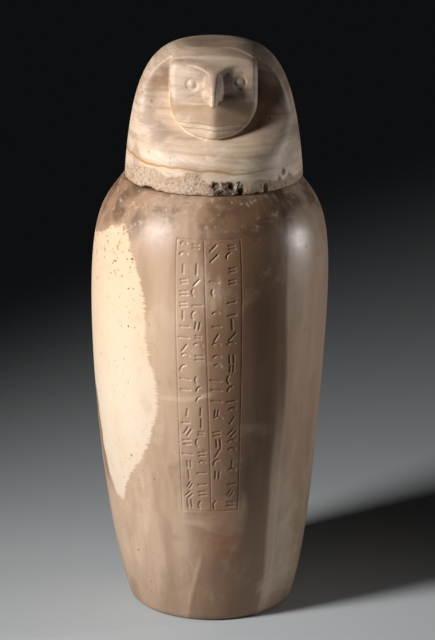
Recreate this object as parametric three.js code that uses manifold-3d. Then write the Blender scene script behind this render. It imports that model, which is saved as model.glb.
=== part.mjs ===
// Canopic jar of veined travertine with a falcon-headed lid.
// Millimetres, +Z up. The face looks towards -Y, the origin is in the middle of the foot.
import * as THREE from 'three';
import { mergeVertices } from 'three/addons/utils/BufferGeometryUtils.js';
import Module from 'manifold-3d';

// ---- driving dimensions ----

const totalHeight = 430;
const seamGap = 0.3;

const jar = {
  height: 330 - seamGap,
  footRadius: 62.2,
  footRound: 6,
  bellyRadius: 88,
  bellyHeight: 246,
  rimRadius: 65.4,
  rimRound: 1.5,
  // What the section's curves are drawn towards, as radius and height.
  footPull: [61.4, 0],
  wallPulls: [[78, 53], [88, 189]],
  shoulderPulls: [[88, 308], [78, 312]],
  sides: 52,
};

// The hand-ground axis bows sideways, by this much over one half wave.
const bow = { reach: 1.4, start: 40, halfWave: 205 };

const bore = {
  mouthRadius: 48,
  neckDepth: 20,
  bellyRadius: 64,
  bellyHeight: 236,
  floorRadius: 34,
  floorHeight: 32,
  neckPulls: [[64, 295.7], [64, 256]],
  footPulls: [[64, 150], [52, 32]],
};

const lid = {
  base: 330,
  radius: 65.5,
  height: totalHeight - 330,
  offset: 3,
  // The bell narrows by this share of its radius, and its dome is a superellipse.
  taper: 0.19,
  taperPower: 1.3,
  domePower: 4,
};

const plug = { radius: 44.5, depth: 14, chamfer: 2 };

const face = {
  halfWidth: 31.6,
  // In front view two half superellipses meet at sideHeight.
  sideHeight: 68,
  chinDrop: 29.5,
  chinPower: 2.4,
  crownRise: 31,
  crownPower: 8,
  crownCamber: 0.0063,
  // The forehead falls forward by this power, and its camber is less over the brows.
  foreheadPower: 3,
  foreheadDrop: 0.4,
  browCamber: { less: 0.004, start: 24, end: 42 },
  // How sharply the forehead turns down, at the brow's edge and further back.
  foreheadEdge: { sharp: 1.2, soft: 5, start: 38, end: 24 },
  eyePlane: { forward: 46.8, sweep: 0.29, lean: 0.1, level: 84, leanLow: -10, leanHigh: 30 },
  jaw: { forward: 55.2, sweep: 0.44, round: 7 },
  mouthHeight: 67,
  // The step from the eyes to the jaw widens beyond start.
  mouthStep: { reach: 1, start: 6, widening: 0.22, widest: 20 },
};

const brow = {
  root: { forward: 53.5, height: 85 },
  sweep: 0.72,
  rootRound: 1.5,
  under: 2,
  rise: 0.4,
  templeRise: 1.5,
  templeStart: 20,
  templeEnd: 31,
  edgeBlend: 1,
};

const beak = {
  tip: { forward: 63.5, height: 66 },
  rootBack: 0.4,
  curve: 1.5,
  // It leans to one side by this much at its tip.
  lean: 0.6,
  // The flanks' slope at the root, how much of it is lost at the tip, and the ridge's rounding.
  flank: 2.9,
  flankLoss: 1.35,
  ridgeRound: 2.2,
  ridgeDepth: 1.48,
  flare: 0.05,
  hook: { drop: 3.4, halfWidth: 7, start: 54, end: 62 },
  mouthBlend: 0.9,
};

// What turns each surface's height difference into a distance, and how softly they join.
const slopes = { face: 0.93, brow: 0.8, browEdge: 0.9, beak: 0.42, forehead: 0.9, opening: 0.7 };
const joins = { brow: 1.6, beak: 1.3 };

const hood = {
  // The opening's edge, and the point behind it that its walls fan out from.
  halfWidth: 53.5,
  widest: 50,
  top: 92.5,
  apexForward: -8,
  apexHeight: 56,
  edgeForward: 22.5,
  // The opening's upper edge: hidden in the forehead in the middle, higher beside it.
  lintel: 84,
  lintelRise: 10,
  lintelStart: 22,
  lintelEnd: 30,
  // The opening's arch above its widest level, and how it tucks in below.
  archPower: 3,
  archFlare: 0.385,
  tuck: 0.038,
  // The ledge rises behind ledgeFront over ledgeRun.
  ledgeHeight: 37,
  ledgeRise: 19,
  ledgeFront: 58,
  ledgeRun: 33,
  deepest: 6,
  wallBlend: 4,
  ledgeBlend: 12,
  // The opening's edge is crisp at the top and softens into the collar below.
  crisp: 1,
  soft: 17,
  crispFrom: 78,
  softUnder: 50,
};

const eyes = [
  { x: -15.6, z: 76.8 },
  { x: 18.9, z: 77.9 },
];
const eye = { socketRadius: 4.6, socketDepth: 0.8, ballRadius: 2.9, flatness: 0.5, sides: 16 };

// The hood's mesh: level rows up to fanHeight, then a fan of rows up to the crown.
const hoodMesh = {
  around: 56,
  levelRows: 8,
  levelPower: 0.62,
  fanRows: 18,
  fanHeight: 52,
  back: 14,
  // The opening's edge is looked for between these azimuths, in radians.
  leastEdge: 0.6,
  mostEdge: 1.7,
};
// The face's mesh: rings from its outline in to the brow's edge, then on in to the beak.
const faceMesh = {
  around: 72,
  outerRings: 5,
  innerRings: 12,
  innerPower: 1.1,
  rim: 0.93,
  aboveBrow: 0.3,
  back: 0,
};

// ---- smooth arithmetic ----

function smoothMax(a, b, blend) {
  const share = THREE.MathUtils.clamp(0.5 + (0.5 * (a - b)) / blend, 0, 1);
  return b + (a - b) * share + blend * share * (1 - share);
}

function smoothMin(a, b, blend) {
  return -smoothMax(-a, -b, blend);
}

// 0 at from, 1 at to, also where to is the smaller of the two.
function smoothStep(from, to, value) {
  const t = THREE.MathUtils.clamp((value - from) / (to - from), 0, 1);
  return t * t * (3 - 2 * t);
}

// ---- the jar ----

function axisOffset(z) {
  return -bow.reach * Math.sin((Math.PI * (z - bow.start)) / bow.halfWave);
}

// Half section from the middle of the foot, up the wall, over the rim and down the bore.
function jarSection() {
  const point = (r, z) => new THREE.Vector2(r, z);
  const pulls = (pairs) => pairs.map(([r, z]) => point(r, z));
  const curve = (steps, ...ends) => new THREE.CubicBezierCurve(...ends).getPoints(steps);
  const foot = new THREE.QuadraticBezierCurve(
    point(jar.footRadius - jar.footRound, 0),
    point(...jar.footPull),
    point(jar.footRadius, jar.footRound),
  ).getPoints(3);
  const wall = curve(
    9,
    point(jar.footRadius, jar.footRound),
    ...pulls(jar.wallPulls),
    point(jar.bellyRadius, jar.bellyHeight),
  );
  const shoulder = curve(
    8,
    point(jar.bellyRadius, jar.bellyHeight),
    ...pulls(jar.shoulderPulls),
    point(jar.rimRadius, jar.height),
  );
  const mouth = jar.height - bore.neckDepth;
  const boreTop = curve(
    4,
    point(bore.mouthRadius, mouth),
    ...pulls(bore.neckPulls),
    point(bore.bellyRadius, bore.bellyHeight),
  );
  const boreFoot = curve(
    6,
    point(bore.bellyRadius, bore.bellyHeight),
    ...pulls(bore.footPulls),
    point(bore.floorRadius, bore.floorHeight),
  );
  return [
    point(0, 0),
    ...foot,
    ...wall.slice(1),
    ...shoulder.slice(1),
    point(bore.mouthRadius + jar.rimRound, jar.height),
    point(bore.mouthRadius, jar.height - jar.rimRound),
    ...boreTop,
    ...boreFoot.slice(1),
    point(0, bore.floorHeight),
  ];
}

function jarGeometry() {
  const geometry = new THREE.LatheGeometry(jarSection(), jar.sides);
  geometry.rotateX(Math.PI / 2);
  const position = geometry.attributes.position;
  for (let i = 0; i < position.count; i += 1) {
    position.setX(i, position.getX(i) + axisOffset(position.getZ(i)));
  }
  return geometry;
}

// ---- the lid, as functions that are negative inside the stone ----
// x is to the right, u forward from the lid's axis and z up from its base.

function bell(x, u, z) {
  const t = THREE.MathUtils.clamp(z / lid.height, 0, 2);
  const radius = lid.radius * (1 - lid.taper * t ** lid.taperPower);
  const across = (Math.hypot(x, u) / radius) ** lid.domePower;
  return ((across + t ** lid.domePower) ** (1 / lid.domePower) - 1) * radius;
}

// The opening that the hood leaves round the face, down to a soft ledge under the chin.
function hoodOpening(x, u, z) {
  const ahead = Math.max(u - hood.apexForward, 1);
  const scale = (hood.edgeForward - hood.apexForward) / ahead;
  const height = hood.apexHeight + (z - hood.apexHeight) * scale;
  const above = THREE.MathUtils.clamp((height - hood.widest) / (hood.top - hood.widest), 0, 1);
  const below = Math.max(hood.widest - height, 0);
  const arch = hood.halfWidth * (1 - above ** hood.archPower) ** hood.archFlare;
  const edge = arch - hood.tuck * below ** 2;
  const side = Math.abs(x) * scale;
  const lintel = hood.lintel + hood.lintelRise * smoothStep(hood.lintelStart, hood.lintelEnd, side);
  const wall = (Math.max(side - edge, height - lintel) / scale) * slopes.opening;
  const backShare = Math.max(hood.ledgeFront - u, 0) / hood.ledgeRun;
  const ledge = hood.ledgeHeight + hood.ledgeRise * backShare ** 2;
  return smoothMax(smoothMax(wall, hood.deepest - u, hood.wallBlend), ledge - z, hood.ledgeBlend);
}

function hooded(x, u, z) {
  const soft = hood.crisp + hood.soft * smoothStep(hood.crispFrom, hood.softUnder, z);
  return smoothMax(bell(x, u, z), -hoodOpening(x, u, z), soft);
}

// The height of the brow's lower edge, rising from the beak's root to the temple.
function browEdge(side) {
  const temple = brow.templeRise * smoothStep(brow.templeStart, brow.templeEnd, side);
  return brow.root.height - brow.under + brow.rise * side + temple;
}

// How far a point lies ahead of the eyes' plane above the mouth and of the jaw below it.
function cheeks(side, u, z) {
  const { eyePlane, jaw, mouthStep } = face;
  const lean = eyePlane.lean * THREE.MathUtils.clamp(eyePlane.level - z, eyePlane.leanLow, eyePlane.leanHigh);
  const upper = eyePlane.forward - eyePlane.sweep * side + lean;
  const lower = jaw.forward - jaw.sweep * Math.sqrt(side ** 2 + jaw.round);
  const beyond = THREE.MathUtils.clamp(side - mouthStep.start, 0, mouthStep.widest);
  const spread = mouthStep.reach + mouthStep.widening * beyond;
  const share = smoothStep(spread, -spread, z - face.mouthHeight);
  return (u - THREE.MathUtils.lerp(upper, lower, share)) * slopes.face;
}

function browRidge(side, u, z) {
  const front = u - (brow.root.forward - brow.sweep * Math.sqrt(side ** 2 + brow.rootRound));
  return smoothMax(front * slopes.brow, (browEdge(side) - z) * slopes.browEdge, brow.edgeBlend);
}

// The beak's ridge runs forward and down from the brow's root, and hooks over the mouth.
function beakFront(x, u, z) {
  const { root } = brow;
  const { tip, hook } = beak;
  const down = THREE.MathUtils.clamp((root.height - z) / (root.height - tip.height), -1, 1);
  const drop = down > 0 ? 1 - (1 - down) ** beak.curve : down;
  const ridge = root.forward - beak.rootBack + (tip.forward - root.forward) * drop;
  const across = x + beak.lean * down;
  const slope = beak.flank - beak.flankLoss * Math.max(down, 0);
  const roof = Math.sqrt(across ** 2 + beak.ridgeRound) - beak.ridgeDepth;
  const flank = (u - ridge + slope * roof + beak.flare * across ** 2) * slopes.beak;
  const hooked = smoothStep(hook.halfWidth, 0, Math.abs(across)) * smoothStep(hook.start, hook.end, u);
  return smoothMax(flank, face.mouthHeight - z - hook.drop * hooked, beak.mouthBlend);
}

function faceFront(x, u, z) {
  const side = Math.abs(x);
  const browed = smoothMin(cheeks(side, u, z), browRidge(side, u, z), joins.brow);
  return smoothMin(browed, beakFront(x, u, z), joins.beak);
}

// The front of the face under a forehead that curves back to meet the crown.
function faceAndForehead(x, u, z) {
  const { browCamber, foreheadEdge } = face;
  const ahead = Math.max(u, 0) / brow.root.forward;
  const fall = (lid.height - brow.root.height) * ahead ** face.foreheadPower;
  const flatter = browCamber.less * smoothStep(browCamber.start, browCamber.end, u);
  const camber = face.crownCamber - flatter;
  const forehead = z + face.foreheadDrop - (lid.height - fall - camber * x ** 2);
  const edge = foreheadEdge.sharp + foreheadEdge.soft * smoothStep(foreheadEdge.start, foreheadEdge.end, u);
  return smoothMax(faceFront(x, u, z), forehead * slopes.forehead, edge);
}

// Rays are followed in steps, and the last step is then halved.
const rays = { step: 1.5, reach: 110, halvings: 12 };

// Follows a ray from inside the stone to the last place where it comes out. Vectors are (x, u, z).
function leaveStone(stone, origin, direction) {
  const { step, reach, halvings } = rays;
  const at = (s) => stone(
    origin.x + direction.x * s,
    origin.y + direction.y * s,
    origin.z + direction.z * s,
  );
  let inside = 0;
  for (let s = 0; s < reach; s += step) {
    if (at(s) < 0) inside = s;
  }
  let outside = inside + step;
  for (let halving = 0; halving < halvings; halving += 1) {
    const middle = (inside + outside) / 2;
    if (at(middle) < 0) inside = middle;
    else outside = middle;
  }
  return origin.clone().addScaledVector(direction, inside);
}

function ring(around, pointAt) {
  return Array.from({ length: around }, (_, i) => pointAt((2 * i) / around - 1));
}

// Closes a stack of rings, foot and crown into one body. Forward is towards -Y.
function wrapRings(foot, rings, crown) {
  const points = [foot, ...rings.flat(), crown];
  const around = rings[0].length;
  const last = rings.length - 1;
  const at = (row, i) => 1 + row * around + (i % around);
  const faces = [];
  for (let i = 0; i < around; i += 1) {
    faces.push(0, at(0, i + 1), at(0, i));
    for (let row = 0; row < last; row += 1) {
      const [a, b, c, d] = [at(row, i), at(row, i + 1), at(row + 1, i + 1), at(row + 1, i)];
      const shorter = points[a].distanceTo(points[c]) <= points[b].distanceTo(points[d]);
      faces.push(...(shorter ? [a, c, d, a, b, c] : [a, b, d, b, c, d]));
    }
    faces.push(at(last, i), at(last, i + 1), points.length - 1);
  }
  const geometry = new THREE.BufferGeometry();
  const positions = points.flatMap((p) => [p.x, -p.y, p.z]);
  geometry.setAttribute('position', new THREE.Float32BufferAttribute(positions, 3));
  geometry.setIndex(faces);
  return geometry;
}

function rayOf(angle, rise) {
  const level = Math.cos(rise);
  return new THREE.Vector3(Math.sin(angle) * level, Math.cos(angle) * level, Math.sin(rise));
}

// The azimuth where a row of rays meets the edge of the hood's opening.
function edgeAngle(origin, rise) {
  let within = hoodMesh.leastEdge;
  let beyond = hoodMesh.mostEdge;
  for (let halving = 0; halving < rays.halvings; halving += 1) {
    const middle = (within + beyond) / 2;
    const { x, y, z } = leaveStone(bell, origin, rayOf(middle, rise));
    if (hoodOpening(x, y, z) < 0) within = middle;
    else beyond = middle;
  }
  return within;
}

// Half of each ring's points lie within the opening, so that its edge is one line of the mesh.
function azimuth(s, edge) {
  const side = Math.abs(s);
  const turned = side < 0.5 ? edge * side * 2 : THREE.MathUtils.mapLinear(side, 0.5, 1, edge, Math.PI);
  return Math.sign(s) * turned;
}

function hoodRing(origin, rise) {
  const level = new THREE.Vector3(0, origin.y, hoodMesh.fanHeight);
  const edge = edgeAngle(level, rise);
  return ring(hoodMesh.around, (s) => leaveStone(hooded, origin, rayOf(azimuth(s, edge), rise)));
}

// One ring of the plug, which stands on the mouth's own axis.
function plugRing(radius, z) {
  const middle = axisOffset(jar.height) - lid.offset;
  return ring(hoodMesh.around, (s) => {
    const angle = azimuth(s, 1);
    return new THREE.Vector3(middle + radius * Math.sin(angle), radius * Math.cos(angle), z);
  });
}

// The hooded bell with the plug under it.
function hoodGeometry() {
  const rings = [
    plugRing(plug.radius - plug.chamfer, -plug.depth),
    plugRing(plug.radius, plug.chamfer - plug.depth),
    plugRing(plug.radius, 0),
  ];
  for (let i = 0; i < hoodMesh.levelRows; i += 1) {
    const height = hoodMesh.fanHeight * (i / hoodMesh.levelRows) ** hoodMesh.levelPower;
    rings.push(hoodRing(new THREE.Vector3(0, -hoodMesh.back, height), 0));
  }
  for (let i = 0; i < hoodMesh.fanRows; i += 1) {
    const rise = (Math.PI / 2) * (i / hoodMesh.fanRows);
    const back = hoodMesh.back * Math.sqrt(Math.cos(rise));
    rings.push(hoodRing(new THREE.Vector3(0, -back, hoodMesh.fanHeight), rise));
  }
  const foot = new THREE.Vector3(0, 0, -plug.depth);
  const crown = new THREE.Vector3(0, 0, lid.height);
  return wrapRings(foot, rings, crown);
}

// The radius at an angle from the crown, cut short where a line over the face is lower.
function radiusUnder(lineHeight, angle, limit) {
  const along = Math.max(Math.cos(angle), 0.05);
  let radius = limit;
  for (let pass = 0; pass < 8; pass += 1) {
    const height = lineHeight(radius * Math.abs(Math.sin(angle))) - face.sideHeight;
    radius = Math.min(limit, height / along);
  }
  return radius;
}

// How far the face's outline lies from its middle.
function outlineRadius(angle) {
  const upper = Math.cos(angle) > 0;
  const height = upper ? face.crownRise : face.chinDrop;
  const power = upper ? face.crownPower : face.chinPower;
  const sum = (Math.abs(Math.sin(angle)) / face.halfWidth) ** power
    + (Math.abs(Math.cos(angle)) / height) ** power;
  const crownLine = (side) => face.sideHeight + face.crownRise - face.crownCamber * side ** 2;
  return radiusUnder(crownLine, angle, sum ** (-1 / power));
}

// A ring within the outline whose upper part lies along the brow's edge.
function browRadius(angle) {
  const line = (side) => browEdge(side) + faceMesh.aboveBrow;
  return radiusUnder(line, angle, outlineRadius(angle) * faceMesh.rim);
}

function facePoint(angle, radius) {
  return { x: radius * Math.sin(angle), z: face.sideHeight + radius * Math.cos(angle) };
}

const forward = new THREE.Vector3(0, 1, 0);

function onFace({ x, z }) {
  return leaveStone(faceAndForehead, new THREE.Vector3(x, faceMesh.back, z), forward);
}

// The face stands ahead of the hood's opening with straight sides. Its rings are turned the
// other way round from the hood's, because this stack of them runs forward.
function faceGeometry() {
  const rings = [ring(faceMesh.around, (s) => {
    const { x, z } = facePoint(-Math.PI * s, outlineRadius(Math.PI * s));
    return new THREE.Vector3(x, faceMesh.back - 1, z);
  })];
  const addRing = (radiusOf) => {
    rings.push(ring(faceMesh.around, (s) => onFace(facePoint(-Math.PI * s, radiusOf(Math.PI * s)))));
  };
  const { lerp } = THREE.MathUtils;
  for (let i = 0; i < faceMesh.outerRings; i += 1) {
    const share = i / faceMesh.outerRings;
    addRing((angle) => lerp(outlineRadius(angle), browRadius(angle), share));
  }
  for (let i = 0; i < faceMesh.innerRings; i += 1) {
    const share = 1 - i / faceMesh.innerRings;
    addRing((angle) => browRadius(angle) * share ** faceMesh.innerPower);
  }
  const behind = new THREE.Vector3(0, faceMesh.back - 1, face.sideHeight);
  return wrapRings(behind, rings, onFace({ x: 0, z: face.sideHeight }));
}

// ---- the eyes: a round sunk socket with a low ball in it ----

// Moves geometry built about its own axis into an eye's place, with +Z looking out of it.
function placeAtEye(geometry, { x, z }, sink) {
  const { forward, sweep, lean, level } = face.eyePlane;
  const depth = forward - sweep * Math.abs(x) + lean * (level - z);
  const out = new THREE.Vector3(sweep * Math.sign(x), -1, -lean).normalize();
  const turn = new THREE.Quaternion().setFromUnitVectors(new THREE.Vector3(0, 0, 1), out);
  const place = new THREE.Vector3(x, -depth, z).addScaledVector(out, -sink);
  geometry.applyMatrix4(new THREE.Matrix4().compose(place, turn, new THREE.Vector3(1, 1, 1)));
  return geometry;
}

// A dish with sloping sides, tall enough to cut clear of the face.
function socketCutter(place) {
  const profile = [
    new THREE.Vector2(0, 0),
    new THREE.Vector2(eye.socketRadius - 1, 0),
    new THREE.Vector2(eye.socketRadius + 0.6, eye.socketDepth + 0.6),
    new THREE.Vector2(0, eye.socketDepth + 0.6),
  ];
  const geometry = new THREE.LatheGeometry(profile, eye.sides);
  geometry.rotateX(Math.PI / 2);
  return placeAtEye(geometry, place, eye.socketDepth);
}

function eyeBall(place) {
  const geometry = new THREE.SphereGeometry(eye.ballRadius, eye.sides, 8);
  geometry.scale(1, 1, eye.flatness);
  return placeAtEye(geometry, place, eye.socketDepth);
}

// ---- joining and cutting ----

// Edges shorter than this are left out where surfaces cross at a grazing angle.
const sliver = 0.05;

const wasm = await Module();
wasm.setup();

function toSolid(geometry) {
  const bare = geometry.clone();
  bare.deleteAttribute('normal');
  bare.deleteAttribute('uv');
  const merged = mergeVertices(bare, 1e-4);
  return new wasm.Manifold(new wasm.Mesh({
    numProp: 3,
    vertProperties: new Float32Array(merged.attributes.position.array),
    triVerts: new Uint32Array(merged.index.array),
  }));
}

function toGeometry(solid) {
  const { vertProperties, triVerts } = solid.getMesh();
  const geometry = new THREE.BufferGeometry();
  geometry.setAttribute('position', new THREE.BufferAttribute(vertProperties, 3));
  geometry.setIndex(new THREE.BufferAttribute(triVerts, 1));
  geometry.computeVertexNormals();
  return geometry;
}

function carvedLid() {
  let solid = toSolid(hoodGeometry()).add(toSolid(faceGeometry()));
  for (const place of eyes) {
    solid = solid.subtract(toSolid(socketCutter(place))).add(toSolid(eyeBall(place)));
  }
  return toGeometry(solid.simplify(sliver));
}

// ---- the object ----

function piece(name, geometry, color, roughness) {
  const material = new THREE.MeshStandardMaterial({ color, roughness, metalness: 0 });
  material.name = name;
  const made = new THREE.Mesh(geometry, material);
  made.name = name;
  return made;
}

const canopicJar = new THREE.Group();

const vessel = piece('jar', toGeometry(toSolid(jarGeometry())), 0xa78d7b, 0.5);
canopicJar.add(vessel);

const cover = piece('lid', carvedLid(), 0xc9ad90, 0.5);
cover.position.set(lid.offset, 0, lid.base);
canopicJar.add(cover);

export default canopicJar;
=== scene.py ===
"""Canopic jar of banded travertine with a falcon-headed lid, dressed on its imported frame.

Metres, +Z up. The face looks towards -Y. Angles round the jar are measured from the front,
with the viewer's right as positive.
"""
import math
from types import SimpleNamespace

import bpy
import numpy as np
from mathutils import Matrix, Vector


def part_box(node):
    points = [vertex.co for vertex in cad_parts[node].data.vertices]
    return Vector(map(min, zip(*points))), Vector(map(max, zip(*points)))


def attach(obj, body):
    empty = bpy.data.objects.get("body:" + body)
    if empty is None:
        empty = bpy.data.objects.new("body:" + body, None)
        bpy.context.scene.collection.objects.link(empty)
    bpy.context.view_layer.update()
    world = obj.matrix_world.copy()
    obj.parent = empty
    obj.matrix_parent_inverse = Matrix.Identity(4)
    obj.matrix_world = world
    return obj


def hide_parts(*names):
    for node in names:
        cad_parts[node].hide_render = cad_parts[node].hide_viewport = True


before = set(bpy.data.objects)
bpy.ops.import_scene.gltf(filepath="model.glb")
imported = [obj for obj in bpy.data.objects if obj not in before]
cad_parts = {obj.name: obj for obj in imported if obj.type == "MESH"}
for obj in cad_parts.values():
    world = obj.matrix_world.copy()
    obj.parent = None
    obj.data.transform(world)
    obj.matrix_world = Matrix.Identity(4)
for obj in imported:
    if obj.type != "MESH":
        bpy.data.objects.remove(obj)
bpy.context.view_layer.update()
JAR_LOW, JAR_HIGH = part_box("jar")
LID_LOW, LID_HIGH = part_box("lid")

bl_info = {
    "name": "Canopic jar",
    "version": (1, 0, 0),
    "blender": (4, 5, 0),
    "location": "View3D > Sidebar > Canopic jar",
    "description": "Makes a travertine canopic jar, its falcon-headed lid and a studio floor",
    "category": "Add Mesh",
}

MM = 0.001
SEAM_GAP = 0.3 * MM
BELLY_RADIUS = 0.5 * (JAR_HIGH[0] - JAR_LOW[0])
JAR_HEIGHT = JAR_HIGH[2] - JAR_LOW[2]
LID_BASE = JAR_HIGH[2] + SEAM_GAP
LID_OFFSET = 3 * MM
PLUG_DEPTH = LID_BASE - LID_LOW[2]


def paint(red, green, blue):
    """A colour as mixed on a swatch card, 0 to 255, as the linear colour that a shader takes."""
    def linear(value):
        value /= 255
        return value / 12.92 if value <= 0.04045 else ((value + 0.055) / 1.055) ** 2.4
    return (linear(red), linear(green), linear(blue))


# ---- sizes and colours that a user would change ----


def length(name, description, default, top=0.2):
    return bpy.props.FloatProperty(
        name=name,
        description=description,
        default=default,
        min=0.0,
        max=top,
        precision=5,
        subtype="DISTANCE",
        unit="LENGTH",
    )


def count(name, description, default, least, most):
    return bpy.props.IntProperty(
        name=name,
        description=description,
        default=default,
        min=least,
        max=most,
    )


def watts(name, description, default):
    return bpy.props.FloatProperty(
        name=name,
        description=description,
        default=default,
        min=0.0,
        unit="POWER",
    )


def swatch(name, description, *rgb):
    return bpy.props.FloatVectorProperty(
        name=name,
        description=description,
        default=paint(*rgb),
        min=0.0,
        max=1.0,
        size=3,
        subtype="COLOR",
    )


class JarSettings(bpy.types.PropertyGroup):
    """The hollow jar."""

    foot_radius: length("Foot radius", "Radius just above the rounded foot", 62.2 * MM)
    shoulder_fullness: length("Shoulder fullness", "How far the belly carries up", 62 * MM)
    panel_top: length("Panel top", "Height of the panel's upper line", 302.5 * MM, 0.33)
    panel_bottom: length("Panel bottom", "Height of the panel's lower line", 94.5 * MM, 0.33)
    stroke_depth: length("Stroke depth", "Depth of the cut strokes", 0.7 * MM, 0.003)
    stroke_width: length("Stroke width", "Half width of the cut strokes", 1.1 * MM, 0.004)
    line_depth: length("Line depth", "Depth of the panel's lines", 0.4 * MM, 0.003)
    line_width: length("Line width", "Half width of the panel's lines", 0.7 * MM, 0.004)
    stroke_rows: count("Stroke rows", "Rows of strokes in each column", 25, 4, 60)
    seed: count("Seed", "Changes which stroke stands where", 11, 0, 10000)
    stone: swatch("Stone", "Tan and mauve stone of the left side", 194, 166, 142)
    shade_stone: swatch("Brown stone", "Darker stone in the middle of the front", 140, 108, 84)
    dark_stone: swatch("Dark stone", "Darkest band, beside the grey stone", 84, 62, 46)
    grey_stone: swatch("Grey stone", "Greyer stone of the right side", 176, 153, 134)
    patch: swatch("Cream patch", "Pale patch on the left of the front", 221, 204, 183)
    peach: swatch("Peach", "Warmer stone at the patch's upper end", 214, 184, 151)
    ruddy: swatch("Ruddy stone", "Reddish cloud low on the front", 158, 98, 70)
    vein: swatch("Vein", "Ochre and brown veins", 118, 84, 58)
    pale_vein: swatch("Pale vein", "Pale streaks", 214, 192, 168)


class LidSettings(bpy.types.PropertyGroup):
    """The falcon-headed lid."""

    eye_size: length("Eye size", "Radius of the carved ring round each eye", 3.7 * MM, 0.01)
    fine_cell: length("Fine cell", "Mesh size on the face", 0.85 * MM, 0.01)
    coarse_cell: length("Coarse cell", "Mesh size on the rest", 1.6 * MM, 0.01)
    stone: swatch("Stone", "Pale tan stone", 224, 201, 178)
    pale: swatch("Pale clouds", "Cream clouds in the stone", 247, 230, 208)
    warm_stone: swatch("Warm stone", "Warmer band across the lower face", 178, 144, 112)
    crown_stone: swatch("Crown stone", "Mauve stone of the crown", 176, 153, 136)
    base_stone: swatch("Base stone", "Rough stone of the worn lower edge", 182, 158, 135)
    burnt: swatch("Burnt patch", "Dark patch on the worn edge", 66, 48, 34)
    ochre: swatch("Ochre vein", "Vein round the shoulder of the wig", 170, 128, 72)


class StageSettings(bpy.types.PropertyGroup):
    """Floor, lights and camera."""

    floor_size: length("Floor size", "Side of the square floor", 36.0, 40.0)
    floor_colour: swatch("Floor", "Plain pale floor", 184, 192, 197)
    key_power: watts("Key power", "Power of the soft light from the left", 2.3)
    fill_power: watts("Fill power", "Power of the weaker light from the right", 0.22)
    camera_height: bpy.props.FloatProperty(
        name="Camera elevation",
        description="Angle of the camera above the horizon",
        default=math.radians(17.32),
        subtype="ANGLE",
    )


# ---- node trees written as sums ----


def math_method(operation, swapped=False):
    """A method for one of Python's operators, which adds a Math node of that operation."""
    def method(self, other):
        values = (other, self) if swapped else (self, other)
        return self.bench.math(operation, *values)
    return method


class Signal:
    """One output of a node, so that sums on it read as plain Python."""

    def __init__(self, bench, socket):
        self.bench = bench
        self.socket = socket

    def other(self, name):
        """Another output of the same node."""
        return Signal(self.bench, find_socket(self.socket.node.outputs, name))

    def __neg__(self):
        return self * -1.0

    __add__ = __radd__ = math_method("ADD")
    __sub__ = math_method("SUBTRACT")
    __rsub__ = math_method("SUBTRACT", swapped=True)
    __mul__ = __rmul__ = math_method("MULTIPLY")
    __truediv__ = math_method("DIVIDE")
    __rtruediv__ = math_method("DIVIDE", swapped=True)
    __gt__ = math_method("GREATER_THAN")
    __lt__ = math_method("LESS_THAN")


def find_socket(sockets, name):
    """A socket by its number, its identifier or its name. Of like names, one that is in use."""
    if isinstance(name, int):
        return sockets[name]
    named = [s for s in sockets if s.identifier == name]
    named += [s for s in sockets if s.name == name and s.enabled]
    named += [s for s in sockets if s.name == name]
    if not named:
        raise KeyError(name)
    return named[0]


class Bench:
    """Adds nodes to one tree."""

    def __init__(self, tree):
        self.tree = tree

    def add(self, kind, inputs=None, output=0, **settings):
        """Adds a node, with its settings made first and then its sockets filled or linked.

        Returns the output of that number or name.
        """
        node = self.tree.nodes.new(kind)
        for name, value in settings.items():
            if name == "points":
                self.set_points(node.mapping, value)
            else:
                setattr(node, name, value)
        for name, value in (inputs or {}).items():
            socket = find_socket(node.inputs, name)
            for one in value if isinstance(value, list) else [value]:
                if isinstance(one, Signal):
                    self.tree.links.new(one.socket, socket)
                else:
                    socket.default_value = one
        return Signal(self, find_socket(node.outputs, output)) if len(node.outputs) else None

    def set_points(self, mapping, points):
        curve = mapping.curves[0]
        while len(curve.points) < len(points):
            curve.points.new(0.5, 0.5)
        for point, place in zip(curve.points, sorted(points)):
            point.location = place
        mapping.update()

    def math(self, operation, *values):
        return self.add("ShaderNodeMath", dict(enumerate(values)), operation=operation)

    def vector(self, x, y, z=0.0):
        return self.add("ShaderNodeCombineXYZ", {"X": x, "Y": y, "Z": z})

    def split(self, vector):
        x = self.add("ShaderNodeSeparateXYZ", {"Vector": vector})
        return x, x.other("Y"), x.other("Z")

    def ramp(self, value, low, high, to_low=0.0, to_high=1.0):
        """value from low to high made to_low to to_high, smoothly, and held outside them."""
        inputs = {"Value": value, 1: low, 2: high, 3: to_low, 4: to_high}
        return self.add("ShaderNodeMapRange", inputs, interpolation_type="SMOOTHSTEP")

    def band(self, value, middle, half_width, softness):
        """1 within half_width of middle, falling to 0 over softness."""
        away = self.math("ABSOLUTE", value - middle)
        return self.ramp(away, half_width, half_width + softness, 1.0, 0.0)

    def random(self, kind, seed, low=None, high=None, chance=None):
        """A random value for each point: from low to high, or true by that chance."""
        if kind == "BOOLEAN":
            inputs = {"Probability": chance}
        else:
            first = {"FLOAT_VECTOR": 0, "FLOAT": 2, "INT": 4}[kind]
            inputs = {first: low, first + 1: high}
        value = self.add("FunctionNodeRandomValue", {"Seed": seed, **inputs}, data_type=kind)
        outputs = value.socket.node.outputs
        return Signal(self, next(socket for socket in outputs if socket.enabled))

    def line(self, start, end):
        return self.add("GeometryNodeCurvePrimitiveLine", {"Start": start, "End": end})

    def join(self, parts):
        return self.add("GeometryNodeJoinGeometry", {"Geometry": parts})

    def groove(self, edges, spot, width):
        """1 on the middle of an edge, falling to 0 at width from it."""
        inputs = {"Target": edges, "Source Position": spot}
        away = self.add("GeometryNodeProximity", inputs, "Distance", target_element="EDGES")
        return self.ramp(away, 0.0, width, 1.0, 0.0)


# How deep the relief of the stone itself is.
RELIEF = 0.12 * MM


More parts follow.
